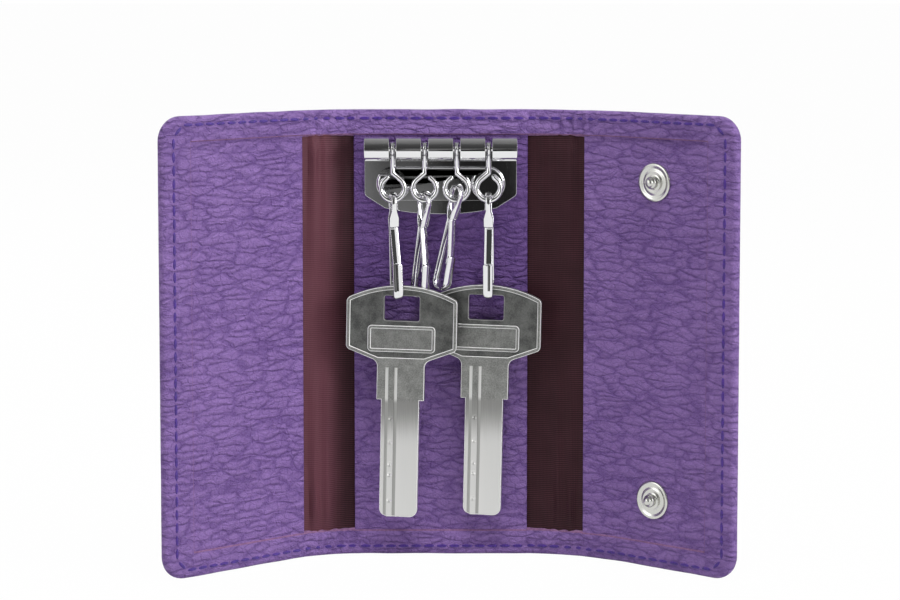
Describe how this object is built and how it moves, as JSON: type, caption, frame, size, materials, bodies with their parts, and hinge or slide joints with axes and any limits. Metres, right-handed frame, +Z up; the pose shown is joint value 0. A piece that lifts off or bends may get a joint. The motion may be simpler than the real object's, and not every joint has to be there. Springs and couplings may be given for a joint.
{
  "type": "key case",
  "caption": "Folding leather key case, standing open, with a chromed key plate, wire loops, sprung snap clips, flat keys and press studs.",
  "frame": {"origin": "middle of the standing edge of the centre panel, under the fold plane of the lining's inner face", "axes": "+Z up from the standing edge, +X to the right seen from the open side, +Y from the open side to the back"},
  "size_m": [0.1303, 0.0314, 0.105],
  "materials": {
    "cover_leather": "pebbled, semi-matt purple",
    "facing_leather": "pebbled, semi-matt purple",
    "lining_cloth": "ribbed cloth, dark brown",
    "board": "plain board, hidden",
    "bright_chrome": "polished",
    "snap_nickel": "bright nickel",
    "key_steel": "satin nickel-plated"
  },
  "bodies": {
    "centre": {"centre_cover": "cover_leather", "centre_stiffener": "board", "centre_lining": "lining_cloth", "centre_facing": "facing_leather", "key_plate": "bright_chrome", "hinge_rod": "bright_chrome", "plate_rivets": "bright_chrome", "rivet_washers": "bright_chrome"},
    "left_spine": {"left_spine_cover": "cover_leather", "left_spine_backing": "board", "left_spine_lining": "lining_cloth"},
    "left_flap": {"left_flap_cover": "cover_leather", "left_flap_stiffener": "board", "left_flap_lining": "lining_cloth", "left_flap_facing": "facing_leather", "snap_sockets": "snap_nickel", "socket_caps": "snap_nickel"},
    "right_spine": {"right_spine_cover": "cover_leather", "right_spine_backing": "board", "right_spine_lining": "lining_cloth", "right_spine_facing_edge": "facing_leather"},
    "right_flap": {"right_flap_cover": "cover_leather", "right_flap_stiffener": "board", "right_flap_lining": "lining_cloth", "right_flap_facing": "facing_leather", "snap_studs": "snap_nickel", "stud_feet": "snap_nickel"},
    "loop_1": {"loop_1": "bright_chrome"},
    "clip_1": {"clip_1": "bright_chrome"},
    "gate_1": {"gate_1": "bright_chrome"},
    "loop_2": {"loop_2": "bright_chrome"},
    "clip_2": {"clip_2": "bright_chrome"},
    "gate_2": {"gate_2": "bright_chrome"},
    "loop_3": {"loop_3": "bright_chrome"},
    "clip_3": {"clip_3": "bright_chrome"},
    "gate_3": {"gate_3": "bright_chrome"},
    "loop_4": {"loop_4": "bright_chrome"},
    "clip_4": {"clip_4": "bright_chrome"},
    "gate_4": {"gate_4": "bright_chrome"},
    "left_key": {"left_key": "key_steel"},
    "right_key": {"right_key": "key_steel"}
  },
  "joints": [
    {"name": "left_spine_fold", "type": "hinge", "parent": "centre", "child": "left_spine", "pos_m": [-0.0224, 0, 0], "axis": [0, 0, 1], "range_deg": [-20.3, 69.7]},
    {"name": "left_flap_fold", "type": "hinge", "parent": "left_spine", "child": "left_flap", "pos_m": [-0.03253, -0.00375, 0], "axis": [0, 0, 1], "range_deg": [-20.3, 69.7]},
    {"name": "right_spine_fold", "type": "hinge", "parent": "centre", "child": "right_spine", "pos_m": [0.024, 0, 0], "axis": [0, 0, -1], "range_deg": [-19.85, 70.15]},
    {"name": "right_flap_fold", "type": "hinge", "parent": "right_spine", "child": "right_flap", "pos_m": [0.03783, -0.00499, 0], "axis": [0, 0, -1], "range_deg": [-19.85, 70.15]},
    {"name": "loop_1_swing", "type": "hinge", "parent": "centre", "child": "loop_1", "pos_m": [-0.01115, -0.0035, 0.096], "axis": [1, 0, 0], "range_deg": [-95, 0]},
    {"name": "loop_2_swing", "type": "hinge", "parent": "centre", "child": "loop_2", "pos_m": [-0.00371, -0.0035, 0.096], "axis": [1, 0, 0], "range_deg": [-95, 0]},
    {"name": "loop_3_swing", "type": "hinge", "parent": "centre", "child": "loop_3", "pos_m": [0.00371, -0.0035, 0.096], "axis": [1, 0, 0], "range_deg": [-95, 0]},
    {"name": "loop_4_swing", "type": "hinge", "parent": "centre", "child": "loop_4", "pos_m": [0.01115, -0.0035, 0.096], "axis": [1, 0, 0], "range_deg": [-95, 0]},
    {"name": "clip_1_swing", "type": "hinge", "parent": "loop_1", "child": "clip_1", "pos_m": [-0.01115, -0.00444, 0.08409], "axis": [1, 0, 0], "range_deg": [-25, 0]},
    {"name": "clip_2_swing", "type": "hinge", "parent": "loop_2", "child": "clip_2", "pos_m": [-0.00371, -0.00444, 0.08409], "axis": [1, 0, 0], "range_deg": [-25, 0]},
    {"name": "clip_3_swing", "type": "hinge", "parent": "loop_3", "child": "clip_3", "pos_m": [0.00371, -0.00444, 0.08409], "axis": [1, 0, 0], "range_deg": [-25, 0]},
    {"name": "clip_4_swing", "type": "hinge", "parent": "loop_4", "child": "clip_4", "pos_m": [0.01115, -0.00444, 0.08409], "axis": [1, 0, 0], "range_deg": [-25, 0]},
    {"name": "gate_1_press", "type": "hinge", "parent": "clip_1", "child": "gate_1", "pos_m": [-0.01085, -0.00523, 0.07764], "axis": [-0.9746, -0.2233, -0.0168], "range_deg": [-11, 0], "stiffness_Nm_per_rad": 0.01, "springref_deg": 5.73},
    {"name": "gate_2_press", "type": "hinge", "parent": "clip_2", "child": "gate_2", "pos_m": [-0.00408, -0.00421, 0.0776], "axis": [-0.819, -0.5732, 0.0257], "range_deg": [-11, 0], "stiffness_Nm_per_rad": 0.01, "springref_deg": 5.73},
    {"name": "gate_3_press", "type": "hinge", "parent": "clip_3", "child": "gate_3", "pos_m": [0.00267, -0.00412, 0.07948], "axis": [-0.8129, -0.5729, 0.1047], "range_deg": [-11, 0], "stiffness_Nm_per_rad": 0.01, "springref_deg": 5.73},
    {"name": "gate_4_press", "type": "hinge", "parent": "clip_4", "child": "gate_4", "pos_m": [0.01115, -0.00439, 0.07759], "axis": [-0.9945, 0.1045, 0.0007], "range_deg": [-11, 0], "stiffness_Nm_per_rad": 0.01, "springref_deg": 5.73},
    {"name": "left_key_swing", "type": "hinge", "parent": "clip_1", "child": "left_key", "pos_m": [-0.01021, -0.00698, 0.06343], "axis": [1, 0, 0], "range_deg": [-45, 0]},
    {"name": "right_key_swing", "type": "hinge", "parent": "clip_4", "child": "right_key", "pos_m": [0.01115, -0.00429, 0.06326], "axis": [1, 0, 0], "range_deg": [-45, 0]}
  ],
  "couplings": [
    {"joint": "left_flap_fold", "follows": "left_spine_fold", "ratio": 1},
    {"joint": "right_flap_fold", "follows": "right_spine_fold", "ratio": 1},
    {"joint": "loop_2_swing", "follows": "loop_1_swing", "ratio": 1},
    {"joint": "loop_3_swing", "follows": "loop_1_swing", "ratio": 1},
    {"joint": "loop_4_swing", "follows": "loop_1_swing", "ratio": 1},
    {"joint": "clip_2_swing", "follows": "clip_1_swing", "ratio": 1},
    {"joint": "clip_3_swing", "follows": "clip_1_swing", "ratio": 1},
    {"joint": "clip_4_swing", "follows": "clip_1_swing", "ratio": 1},
    {"joint": "right_key_swing", "follows": "left_key_swing", "ratio": 1}
  ]
}
